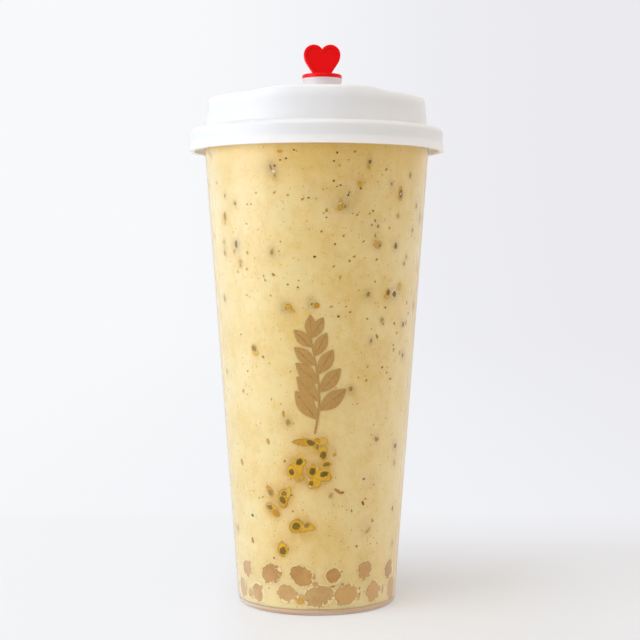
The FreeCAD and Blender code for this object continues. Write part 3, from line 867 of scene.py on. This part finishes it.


# What is placed one by one at the front, as the rows that spots() takes.
PLACES = {
    Kind.SAC: (
        (-7, 64.5, 7.6, 3.3, 175, 0.15, 0.3), (0, 64, 4.8, 3, 80, 0.1), (4, 65, 3.6, 2.8, 20, 0.6),
        (4, 61, 5, 3.4, 85, 0.3), (-15.5, 53.5, 5.8, 4, 95, 0.08), (-10.5, 57, 5.2, 3.9, 30, 0.05),
        (-11, 51.5, 4.4, 3.2, 15, 0.4), (-2.5, 54, 5.2, 4.1, 70, 0.05), (6, 56.5, 4.6, 3, 15, 0.45),
        (4.5, 52.5, 5.8, 4.4, -35, 0, 0.1), (-3.5, 49.5, 4.2, 3.1, 90, 0.1),
        (-21, 45.5, 4.4, 3.4, 20, 0.12), (-22, 42.5, 5.2, 3.9, 100, 0.05), (-18, 46, 4.4, 2, 80, 0.35),
        (-31, 46, 4.8, 2.7, 125, 0.1, 0.2), (-31.5, 40, 4.2, 3.4, 150, 0.3), (-27, 38, 3.6, 2.7, 130),
        (-13, 33.5, 6.4, 5, 25), (-5, 33.5, 4, 2.8, -25, 0.12, 0.35), (-23, 24.5, 6, 4.6, 88, 0, 0.2),
        (-57, 146, 4.4, 1.9, 92, 0.15), (-37, 97, 2.9, 2.1, -20), (42, 117.5, 2.6, 1.9, 10),
        (52, 121, 2.8, 2.2, 80), (22, 158, 1.9, 1.7, 100), (12, 149.5, 2.1, 2),
        (12, 151.5, 1.5, 1.1, 80, 0.35), (33.5, 136.5, 3.6, 3, -30, 0.1), (0, 114.5, 2.1, 2),
        (-15, 114, 2.8, 1.5, -35), (-13, 112.5, 1.8, 0.9, -25, 0.4), (48, 155, 5.4, 2.9, 92, 0.45),
        (-45, 130.5, 1.9, 1.3, 10), (-49.5, 134, 1.6, 1.3, 60, 0.1), (-18, 169.5, 2.2, 1.1, 0, 0.35),
        (47, 147, 1.9, 1.4, 100), (26.5, 164, 1.4, 1.2, 60, 0.15), (-11.5, 5.5, 3, 2.4, 20, 0.5),
        (-55, 6, 3.2, 2.4, 70, 0.6), (-12.5, 54.5, 7, 5, 60, 0.1), (2, 52.5, 7, 5.4, 0, 0.05),
        (-0.5, 50, 4.5, 3.4, -40, 0.1), (-9.5, 33, 5, 3.4, 0, 0.2), (-28.5, 39.5, 4.8, 2.6, 140, 0.3),
        (-20.5, 44, 5, 3.8, 70, 0.2),
    ),
    Kind.CORE: (
        (-3.5, 64.5, 3.6, 2.3, 160, 0.1), (0.5, 63, 2.6, 1.9, 80, 0.3), (4, 60, 3, 2.3, 80, 0.1),
        (-15.5, 53.5, 3, 2.4, 100), (-10.5, 57.5, 3.2, 2.2, 35), (-2.5, 54, 3.6, 2.7, 60),
        (6, 56.5, 3.2, 2.1, 20, 0.25), (4.5, 53, 3.4, 2.4, 20), (-3.5, 49.5, 2.6, 2.1, 80, 0.05),
        (-21, 45.5, 2.8, 2, 20, 0.15), (-22, 43, 3, 2.4, 120), (-30.5, 45.5, 2.6, 1.7, 125, 0.25),
        (-31.5, 40, 2.8, 2.1, 150, 0.2), (-13.5, 33.5, 3.6, 2.8, 20), (-6.5, 34, 2.6, 1.8, 40, 0.3),
        (-23, 24, 3.3, 2.8, 70), (-38, 98.5, 2.6, 2.3, 120, 0.1), (42.5, 119, 2.4, 2.1, 70, 0.05),
        (48, 155, 3.4, 2, 90, 0.15), (34, 136.5, 2.6, 2.1, 0, 0.75), (-56, 147, 3, 1.1, 92, 0.2),
    ),
    Kind.SEED: (
        (-23, 164, 2.8, 1.4, 115, 0.3), (-21, 161, 1.3, 0.9, 100, 0.4), (27, 166, 1.8, 1.4, 60, 0.15),
        (55.5, 162, 2.3, 1.6, 90, 0.45), (41, 158.5, 1.7, 1.2, 100, 0.15), (14.5, 150, 1.6, 1, 80, 0.3),
        (46.5, 136, 2.6, 1.7, 95, 0.15), (-46.5, 151.5, 1.8, 1.5, 110, 0.2),
        (-55, 154.5, 1.5, 0.9, 95, 0.3), (-47.5, 136.5, 3.2, 2.2, 95, 0.05),
        (-59, 137.5, 1.8, 1.2, 100, 0.25), (-59, 133.5, 2.4, 1.7, 105, 0.4),
        (-24, 133.5, 2.8, 1.7, 80, 0.35), (29, 118.5, 2.4, 1.6, 80, 0.25), (47.5, 118.5, 3.1, 2.6, 80),
        (39, 109, 2, 1.6, 90, 0.55), (40, 107.5, 1, 0.9, 0, 0.2), (32, 101.5, 1.9, 0.9, 70, 0.25),
        (58, 107, 2.7, 1.9, 92, 0.2), (60, 95.5, 2.4, 1.6, 92, 0.1), (20, 84, 2.4, 1.8, 70, 0.35),
        (-63, 116.5, 2.4, 1.6, 100, 0.45), (58, 61.5, 2.6, 2.2, 90), (-17, 72, 3.4, 2.2, 100, 0.5),
        (62, 142, 1.6, 1.1, 90, 0.3), (65, 151, 1.9, 1.2, 90, 0.3), (72, 146.5, 3.4, 1.6, 90, 0.35),
        (57, 132, 1.6, 1.1, 90, 0.4), (55, 129.5, 1.6, 1.3, 90, 0.35), (-68, 89, 2.2, 1.5, 95, 0.7),
        (59, 55, 2.2, 1.3, 95, 0.75), (-17, 113.5, 2.4, 1.4, 110, 0.55), (-2.5, 115, 1.9, 1.4, 60, 0.3),
        (9, 45, 2.2, 1.4, 60, 0.75), (-68, 29.5, 2.2, 1.6, 100, 0.4), (64, 24, 2.4, 1.4, 80, 0.6),
        (39, 65, 2, 1.4, 110, 0.4), (36, 31, 3, 1.2, 40, 0.8), (-45, 129, 1.8, 1.2, 80, 0.5),
    ),
    Kind.CHIP: (
        (-21, 164.5, 1.1, 1), (-18, 166.5, 0.8, 0.7), (-15, 167, 0.9, 0.8), (10, 169, 0.8, 0.8),
        (8.5, 159, 0.9, 0.8), (12, 157.5, 1.1, 0.5, -25), (10, 157, 0.6, 0.5), (16, 154, 0.9, 0.7, 80),
        (16.5, 155, 0.6, 0.6), (30, 148.5, 0.8, 0.7), (28, 147.5, 0.7, 0.5), (29.5, 143.5, 0.9, 0.6, 110),
        (9.5, 136.5, 0.8, 0.8), (25, 137.5, 1.1, 0.5, 50), (-1, 132, 1.1, 0.8, 30), (41, 113.5, 0.9, 0.8),
        (12, 110.5, 1, 0.8), (35, 136, 1.1, 0.9, 40), (-10, 121, 0.8, 0.7, 0, 0.2), (-15.5, 122, 0.8, 0.7),
        (8.5, 166, 0.8, 0.7), (27.5, 25.5, 1, 0.7, 110), (23, 39, 1, 0.6, 110, 0.2), (-47, 36, 1.5, 1, -50),
        (31, 41.5, 1.8, 1.2, 120), (50, 98, 1, 0.7, 80, 0.2), (49, 107.5, 1.1, 0.8, 100, 0.2),
        (41, 91.5, 1.1, 0.8, 60, 0.1), (48.5, 87, 0.9, 0.7), (22.5, 156.5, 0.9, 0.8),
        (-11, 170, 0.9, 0.6, -20), (-4, 153, 0.9, 0.6, -20, 0.2), (5, 146, 0.7, 0.6, 0, 0.2),
        (31, 50.5, 1.3, 0.8, 40, 0.4), (16.5, 46, 1.2, 0.9), (-16, 45, 0.8, 0.5), (-30, 21, 0.8, 0.7),
        (-20, 57.5, 0.9, 0.9, 0, 0.5),
    ),
    Kind.PULP: (
        (19, 169.5, 1.3, 0.9), (37, 163.5, 1.5, 0.7, 40), (5, 148.5, 1.6, 1, 80), (3.5, 147.5, 0.8, 0.6),
        (21, 147, 1.1, 0.9, -30), (18.5, 147.5, 0.9, 0.5, -20), (31.5, 145, 1.3, 0.9, 75),
        (33.5, 143, 1.5, 1.2, 60), (2.5, 141, 1, 0.8, -25), (14, 139.5, 0.9, 0.8, 50),
        (41, 142.5, 1.2, 0.7, 85), (20, 132, 1.2, 0.7), (17.5, 130.5, 1, 0.9, 100),
        (33.5, 131, 1.2, 0.9, 20), (9, 128.5, 1.3, 0.6, 35), (32, 139.5, 1.2, 0.8, 100, 0.15),
        (-32, 155, 0.9, 0.8), (-21.5, 155, 1.3, 0.6, 45), (-14.5, 154, 0.8, 0.7), (-38, 151, 1.1, 0.8, -35),
        (-35.5, 151, 0.8, 0.7, -20), (-7, 152.5, 1.5, 0.7, 35), (-39, 144, 1.2, 0.8, -15),
        (-39.5, 133.5, 1.4, 1.1, 90), (-40.5, 127.5, 1.2, 0.9, 60), (-47.5, 126.5, 1.2, 0.8, 80),
        (-23.5, 125.5, 1.5, 1, 150, 0, 0.3), (-29.5, 125, 1.1, 0.7, 80), (-28.5, 123.5, 1, 0.8, -40),
        (-41.5, 118, 1, 0.8, 110), (-25.5, 118, 1.1, 0.5, -40), (33, 123, 0.9, 0.9),
        (12.5, 124.5, 1.6, 0.9, 80, 0.15), (18.5, 112, 1.1, 0.8, 25), (29, 109.5, 1, 0.9),
        (8, 114, 1.2, 0.8, 20, 0.2), (36, 103, 1.8, 1.1, 120), (52, 104, 1.3, 1, 70), (62, 107.5, 2, 1, 85),
        (49.5, 99.5, 0.9, 0.8), (56.5, 96.5, 1.8, 1.1, 88), (45, 89.5, 0.9, 0.8), (30, 87, 1.2, 0.9, 115),
        (-32, 95.5, 1.3, 1.2), (-49, 82.5, 1.6, 1.3, 85), (11, 60, 1.5, 1.2, 20),
        (-31, 64.5, 2.6, 1.3, 105, 0.1), (-55, 55.5, 3.2, 1.4, 115, 0.15), (-48.5, 26.5, 2.4, 1.2, 100),
        (13.5, 46.5, 3.6, 1.2, -38), (39.5, 34.5, 1.4, 1.2, 100), (-15.5, 39, 1, 0.9), (-40, 43, 0.9, 0.7),
        (-37, 43.5, 1, 0.7), (-20, 75, 2.6, 1, 95, 0.2), (60.5, 37.5, 2.2, 1.2, 85),
        (40.5, 65, 1.3, 0.9, 80), (-48, 103.5, 1, 0.8), (-44, 90, 0.9, 0.7), (30.5, 92, 0.9, 0.8),
        (33, 43, 0.9, 0.8, 0, 0.2), (-63.5, 159.5, 1.4, 1.3, 90, 0.2), (64, 111, 1.8, 0.9, 90, 0.3),
        (61, 115, 1.6, 0.9, 90, 0.1),
    ),
    # Painted highlights: pale flecks where light glints.
    Kind.BUBBLE: (
        (-21.5, 162.5, 1.5, 0.9, 30), (33, 157.5, 0.9, 0.5, 70), (35, 156.5, 0.8, 0.4, 110),
        (48, 155, 1.4, 0.7, 50), (12, 151, 1.1, 0.5, 10), (-4, 48.5, 0.9, 0.7), (45, 124, 0.8, 0.6),
        (-15, 51, 0.6, 0.4), (5.5, 52, 0.7, 0.4, 30), (-30.5, 162.5, 0.6, 0.5), (41, 149.5, 0.9, 0.4, 70),
        (-32, 41, 0.8, 0.4, 40),
    ),
}


@dataclass
class Fruit:
    """The seeds, the juice sacs round them, the flecks of pulp that float against the wall and pale flecks
    that paint glints.
    """

    form: CupForm
    seed: int = 5
    loose_seeds: int = 70
    orange_flecks: int = 620
    dark_flecks: int = 190
    front: float = 70.0
    front_size: float = 0.75
    shadows: tuple[Spot, ...] = spots(
        (13, 151, 12, 12, 0, 0.22), (20, 156, 12, 10, 0, 0.16), (30, 143, 8, 8, 0, 0.16),
        (-18, 113.5, 6, 6, 0, 0.3), (-3, 115.5, 6, 6, 0, 0.26), (-22, 163, 7, 8, 0, 0.25),
        (33, 137, 7, 7, 0, 0.18), (7, 112, 6, 6, 0, 0.12), (-2, 156, 10, 8, 0, 0.1),
        (8, 61, 9, 9, 0, 0.12), (37, 49, 8, 7, 0, 0.14), (33, 32, 9, 6, 0, 0.14),
    )
    # The painted shadows that each seed and sac casts in the milk.
    shadow_marks: list[Mark] = field(default_factory=list)
    patches: list[Mark] = field(default_factory=list)

    def __post_init__(self) -> None:
        """Prepares a joined mesh for each kind."""
        self.chance = random.Random(self.seed)
        fine, middling, coarse = Template(28, 16), Template(16, 10), Template(8, 6)
        templates = {Kind.SAC: fine, Kind.CORE: fine, Kind.SEED: middling}
        self.joined = {kind: Lumps(self.form, templates.get(kind, coarse), self.seed + number)
                       for number, kind in enumerate(Kind)}

    def place(self, kind: Kind, spot: Spot) -> None:
        """Adds one thing, and the shadow that it casts in the milk round it.

        Args:
            kind: What it is.
            spot: Where it is and how large.
        """
        chance = self.chance
        _, _, depth, proud, grown = kind.value
        proud += chance.uniform(0.0, 0.02)
        if kind in (Kind.SAC, Kind.CORE):
            skin = {"uneven": 0.06, "veil": chance.uniform(-0.12, 0.0), "veil_side": chance.uniform(0, 0.15)}
        elif kind is Kind.SEED:
            skin = {"uneven": 0.1, "wear": 1.2, "veil": chance.uniform(-0.05, 0.1),
                    "veil_side": chance.uniform(0, 0.3)}
        else:
            skin = {"uneven": 0.12, "wear": 0.4, "veil": -0.2}
        spot = replace(spot, length=spot.length * grown, width=spot.width * grown, depth=depth, proud=proud,
                       tone=chance.uniform(-0.1, 0.45), veil_turn=chance.uniform(0, math.tau), **skin)
        self.joined[kind].add(spot)
        size, clear = max(spot.length, spot.width), 1 - spot.haze
        if kind is Kind.SEED:
            self.shadow_marks.append(spot.mark(size * 0.75, 0.42 * clear + 0.1))
        elif kind is Kind.SAC:
            self.shadow_marks.append(spot.mark(size * 0.72, 0.2 * clear))
            self.patches.append(spot.mark(size * 0.62, 0.5))

    def somewhere(self) -> tuple[float, float]:
        """Draws a place, more often a high one.

        Returns:
            A turn in degrees and a height in millimetres.
        """
        chance = self.chance
        low, high = self.form.bed_top / MM + 2, self.form.level / MM - 2
        share = max(chance.random(), chance.random()) if chance.random() < 0.55 else chance.random()
        return chance.uniform(-180, 180), low + (high - low) * share

    def scatter_seeds(self) -> None:
        """Adds the loose seeds of the sides and the back, half of them with a sac beside them."""
        chance = self.chance
        for _ in range(self.loose_seeds):
            turn, height = self.somewhere()
            length = chance.uniform(1.6, 2.9)
            lean = 90 + chance.uniform(-35, 35)
            if abs(turn) < self.front:
                continue
            self.place(Kind.SEED, Spot(turn, height, length, length * 0.65, lean, chance.uniform(0.1, 0.6)))
            if chance.random() < 0.5:
                self.place(Kind.SAC, Spot(turn + 3, height - 0.6, 2.0, 1.6, lean, chance.uniform(0, 0.3)))

    def scatter_flecks(self, kind: Kind, count: int, least: float, spare: float, kept: float) -> None:
        """Adds flecks at no chosen place, fewer and smaller at the front, where some are listed.

        Args:
            kind: What they are.
            count: How many are drawn.
            least: The smallest length, in millimetres.
            spare: How much longer than that one may be.
            kept: The share of those at the front that stay.
        """
        chance = self.chance
        for _ in range(count):
            turn, height = self.somewhere()
            length = least + spare * chance.random() ** 2
            if abs(turn) < self.front:
                if chance.random() > kept:
                    continue
                length *= self.front_size
            self.place(kind, Spot(turn, height, length, length * chance.uniform(0.5, 0.9),
                                  chance.uniform(0, 180), chance.uniform(0.1, 0.75)))

    def finishes(self) -> dict[Kind, SunkFinish]:
        """The finish of each kind."""
        return {
            Kind.SAC: SunkFinish("juice_sac", ORANGE, "C88C08", "B87E0C", mist=MIST, patch_scale=500.0,
                                 ragged=1.6, cut=0.86, soft=0.08, rim_width=0.3, rim_share=0.7),
            Kind.CORE: SunkFinish("seed_in_juice", "8E7226", "1E1502", "8C6814", film=ORANGE, mist=MIST,
                                  patch_scale=1100.0, ragged=1.0, cut=0.46, soft=0.4, rim_width=0.2,
                                  rim_share=0.5),
            Kind.SEED: SunkFinish("wet_seed", "8A5C12", "2A1800", "98701E", mist=MIST, patch_scale=800.0,
                                  ragged=0.7, cut=0.56, soft=0.4, rim_width=0.3, rim_share=0.4),
            Kind.PULP: SunkFinish("pulp_fleck", "DCA81C", "B67E08", "C48E10", mist="D9B45C", ragged=0.2),
            Kind.CHIP: SunkFinish("seed_crumb", "9C6412", "563002", "88560E", mist="C89E50", ragged=0.2),
            # The glints' pale colours are painted highlights.
            Kind.BUBBLE: SunkFinish("painted_glint", "F2E6C4", "E6D2A0", "E0C486", ragged=1.2, roughness=0.15),
        }

    def build(self) -> None:
        """Models the seeds, the sacs and the flecks."""
        for kind, rows in PLACES.items():
            for spot in spots(*rows):
                self.place(kind, spot)
        self.scatter_seeds()
        self.scatter_flecks(Kind.PULP, self.orange_flecks, 0.3, 0.7, 0.7)
        self.scatter_flecks(Kind.CHIP, self.dark_flecks, 0.25, 0.5, 0.35)
        self.shadow_marks += [spot.mark(spot.length / 2, spot.haze) for spot in self.shadows]
        for kind, finish in self.finishes().items():
            name, slot, *_ = kind.value
            dress(self.joined[kind].build(name), slot, finish.material())


# ---- milk


@dataclass
class Milk:
    """The thick drink that fills the cup up to its level."""

    form: CupForm
    sides: int = 384
    rings: int = 160
    sink: float = 0.2 * MM
    fading: float = 1.3

    def soften(self, points: np.ndarray, marks: list[Mark]) -> np.ndarray:
        """How strongly soft round marks show at each point.

        Args:
            points: The places of the points.
            marks: The marks.

        Returns:
            One value for each point.
        """
        turns = np.arctan2(points[:, 0], -points[:, 1])
        rest = np.ones(len(points))
        for turn, height, reach, strength in marks:
            aside = np.abs((turns - turn + math.pi) % math.tau - math.pi) * self.form.inner(height)
            away = np.hypot(aside, points[:, 2] - height) / reach
            rest *= 1 - strength * np.exp(-self.fading * away ** 2)
        return 1 - rest

    def build(self, fruit: Fruit, pearls: PearlBed) -> Piece:
        """Models the drink and paints the soft shadows of what lies in it and the pulp round the sacs.

        Args:
            fruit: The seeds and the pulp in it.
            pearls: The pearls in it.

        Returns:
            The drink.
        """
        form = self.form
        low = form.floor - self.sink
        section = [
            (0, low),
            (form.inner(low) + form.milk_reach, low),
            (form.inner(form.level) + form.milk_reach, form.level),
            (0, form.level),
        ]
        piece = lathe("milkshake_drink", section, self.sides)
        divide_wall(piece, low, form.level, self.rings)
        points = points_of(piece)
        # Painted shadows: the milk greyed round the seeds, sacs and pearls, and under the listed shadows.
        paint(piece, "painted_shadow", self.soften(points, fruit.shadow_marks + pearls.shadow_halos()))
        paint(piece, "pulp", self.soften(points, fruit.patches))
        return dress(piece, "milkshake", MilkFinish().material(), replaces="milkshake")


# ---- print


@dataclass
class Sprig:
    """The print on the front of the cup: an upright sprig of broad leaves in thin ink, in millimetres."""

    form: CupForm
    turn: float = -1.0
    low: float = 68.0
    high: float = 108.0
    sway: float = 1.6
    leaf: float = 13.5
    leaf_width: float = 0.48
    leaf_slim: float = 0.62
    pairs: int = 5
    spread: float = 48.0
    stem_width: float = 0.8
    stem_runs: int = 30
    film: float = 0.03
    thickness: float = 0.1

    def mark(self, share: float, length: float, width: float, side: int = 0, ahead: float = 0.0) -> Spot:
        """One mark of the print: a run of the stem, or a leaf that leaves it.

        Args:
            share: How far up the stem it is, from 0 to 1.
            length: Its length.
            width: Its width.
            side: 0 along the stem, 1 for a leaf that leans to the right and -1 for one to the left.
            ahead: How far its middle lies from the stem, along its own lean.

        Returns:
            The mark, as a thing on the wall.
        """
        bend = 1.5 * math.pi
        tall = self.high - self.low
        slope = self.sway * bend * math.cos(share * bend) / tall
        lean = 90 - math.degrees(math.atan(slope)) - side * (self.spread - 14 * share)
        across = self.sway * math.sin(share * bend) + ahead * math.cos(math.radians(lean))
        height = self.low + tall * share + ahead * math.sin(math.radians(lean))
        turn = self.turn + math.degrees(across * MM / self.form.outer(height * MM))
        proud = (self.form.wall - self.form.sunk_reach) / MM + self.film
        return Spot(turn, height, length, width, lean, depth=self.thickness, proud=proud, uneven=0.0)

    def marks(self) -> list[Spot]:
        """Every mark: the stem's short runs, the leaves on both sides of it, then the leaf at its top."""
        run = (self.high - self.low) / self.stem_runs
        found = []
        for i in range(self.stem_runs):
            share = (i + 0.5) / self.stem_runs * 0.93
            found.append(self.mark(share, run * 1.5, self.stem_width * (1.15 - 0.6 * share)))
        leaves = []
        for i in range(self.pairs * 2):
            share = 0.12 + 0.74 * i / (self.pairs * 2 - 1)
            length = self.leaf * (1 - 0.42 * share)
            side = 1 if i % 2 else -1
            leaves.append(self.mark(share, length, length * self.leaf_width, side, length * 0.54))
        leaves.append(self.mark(1.0, self.leaf * 0.62, self.leaf * 0.3, ahead=-1.0))
        return found + [replace(leaf, slim=self.leaf_slim) for leaf in leaves]

    def build(self) -> Piece:
        """Lays the sprig on the wall."""
        lumps = Lumps(self.form, Template(32, 16), 3)
        for spot in self.marks():
            lumps.add(spot)
        return dress(lumps.build("printed_sprig", "rib"), "print", InkFinish().material())


# ---- lid and plug


@dataclass
class Moulding:
    """A moulded piece, the lid or the plug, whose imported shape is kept."""

    node: str
    finish: MouldedFinish

    def build(self) -> None:
        """Gives the piece its finish."""
        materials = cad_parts[self.node].data.materials
        materials.clear()
        materials.append(self.finish.material())


# The lid's pink above its neck's height is painted light from the red plug.
LID = Moulding("lid", MouldedFinish("white_lid_plastic", "FCFBF9", "FAF8F6", 0.34, 0.35,
                                    plug_glow="F2DAE4", plug_glow_height=193.5 * MM))
PLUG = Moulding("plug", MouldedFinish("red_plug_plastic", "F5080C", "EC0509", 0.3, 0.2, depth=0.0))


# ---- studio


@dataclass(frozen=True)
class Lamp:
    """A soft lamp that faces the cup, with its width and height, its power in watts and if gloss shows it."""

    name: str
    place: tuple[float, float, float]
    size: tuple[float, float]
    power: float
    colour: str
    mirrored: bool = True
    aim: float = 0.1

    def build(self) -> None:
        """Adds the lamp."""
        deselect_all()
        bpy.ops.object.light_add(type="AREA", location=self.place)
        lamp = bpy.context.object
        lamp.name = self.name
        lamp.data.shape = "RECTANGLE"
        lamp.data.size, lamp.data.size_y = self.size
        lamp.data.energy = self.power
        lamp.data.color = shade(self.colour)[:3]
        lamp.visible_glossy = self.mirrored
        way = Vector((0, 0, self.aim)) - Vector(self.place)
        lamp.rotation_euler = way.to_track_quat("-Z", "Y").to_euler()


LAMPS = (
    Lamp("key", (-0.84, -0.36, 0.24), (0.85, 0.5), 5.0, "E8F1FF"),
    Lamp("rim", (-0.80, 0.55, 0.30), (0.5, 0.6), 0.6, "E8F1FF"),
    Lamp("top", (-0.10, -0.40, 1.15), (0.9, 0.9), 5.7, "FFFCF8"),
    Lamp("fill", (0.94, 0.16, 0.35), (1.6, 0.9), 4.5, "FFF3E8", mirrored=False),
)


@dataclass(frozen=True)
class PaperFinish:
    """Matt white paper that glows a little towards the camera, away from the cup."""

    matt: str = "F2F3F4"
    left: str = "F8F9FB"
    right: str = "EAEAEF"
    least: float = 0.25

    def material(self) -> Material:
        """Paper whose glow lights nothing and only grows beside and behind the cup."""
        graph = Graph("white_paper")
        matt = graph.node("BsdfDiffuse", {"Color": self.matt}).outputs[0]
        place = graph.node("SeparateXYZ", {0: graph.place}).outputs
        tint = graph.blend(graph.step(place["X"], -0.35, 0.5), self.left, self.right)
        glow = graph.node("Emission", {"Color": tint, "Strength": 1.0}).outputs[0]
        path = graph.node("LightPath").outputs
        seen = graph.math("MAXIMUM", path["Is Camera Ray"], path["Is Glossy Ray"])
        seen = graph.math("MAXIMUM", seen, path["Is Transmission Ray"])
        near = graph.math("MAXIMUM", graph.step(place["X"], -0.012, -0.042, self.least, 0.9),
                          graph.step(place["X"], 0.06, 0.12, self.least, 0.45))
        near = graph.math("MAXIMUM", near, graph.step(place["Y"], 0.02, 0.22, self.least, 1.0))
        return graph.finish(graph.mix(graph.times(seen, near), matt, glow))


@dataclass
class Studio:
    """The pale sweep, the even light and the camera."""

    lens: float = 84.375
    eye: tuple[float, float, float] = (1.23 * MM, -577 * MM, 129.4 * MM)
    look_down: float = 2.14
    ambient: float = 0.39
    floor_size: float = 6.0
    floor_shift: float = -1.2
    bend_steps: int = 12
    bend_step: float = 0.08
    backdrop: float = 3.0

    def sweep(self) -> None:
        """Models a floor that curves up into a backdrop."""
        deselect_all()
        bpy.ops.mesh.primitive_plane_add(size=self.floor_size, location=(0, self.floor_shift, 0))
        floor = bpy.context.object
        floor.name = "sweep"
        bpy.ops.object.transform_apply(location=True, rotation=True, scale=True)
        back = self.floor_size / 2 + self.floor_shift
        select_edges(floor, lambda edge: all(vertex.co.y > back - WELD for vertex in edge.verts))
        for i in range(self.bend_steps):
            angle = math.radians(90 * (i + 0.5) / self.bend_steps)
            move = (0, self.bend_step * math.cos(angle), self.bend_step * math.sin(angle))
            bpy.ops.mesh.extrude_region_move(TRANSFORM_OT_translate={"value": move})
        bpy.ops.mesh.extrude_region_move(TRANSFORM_OT_translate={"value": (0, 0, self.backdrop)})
        bpy.ops.object.mode_set(mode="OBJECT")
        bpy.ops.object.shade_smooth()
        floor.data.materials.append(PaperFinish().material())

    def camera(self) -> None:
        """Sets the camera in front of the cup, a little above its middle."""
        deselect_all()
        bpy.ops.object.camera_add(location=self.eye, rotation=(math.radians(90 - self.look_down), 0, 0))
        camera = bpy.context.object
        camera.name = "camera"
        camera.data.lens = self.lens
        bpy.context.scene.camera = camera

    def world(self) -> None:
        """Adds even light from all round."""
        world = bpy.data.worlds.new("studio")
        world.use_nodes = True
        colour, strength = world.node_tree.nodes["Background"].inputs[:2]
        colour.default_value = shade("FAF6F3")
        strength.default_value = self.ambient
        bpy.context.scene.world = world

    def build(self) -> None:
        """Sets up the whole studio."""
        self.sweep()
        self.world()
        for lamp in LAMPS:
            lamp.build()
        self.camera()
        bpy.context.scene.view_settings.view_transform = "Standard"


# ---- the whole


def main() -> None:
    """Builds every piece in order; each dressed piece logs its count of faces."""
    logging.basicConfig(level=logging.INFO, format="%(name)s: %(message)s")
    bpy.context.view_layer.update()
    form = CupForm()
    fruit = Fruit(form)
    fruit.build()
    pearls = PearlBed(form)
    pearls.build()
    Milk(form).build(fruit, pearls)
    Cup(form).build()
    Sprig(form).build()
    LID.build()
    PLUG.build()
    Studio().build()


if __name__ == "__main__":
    main()
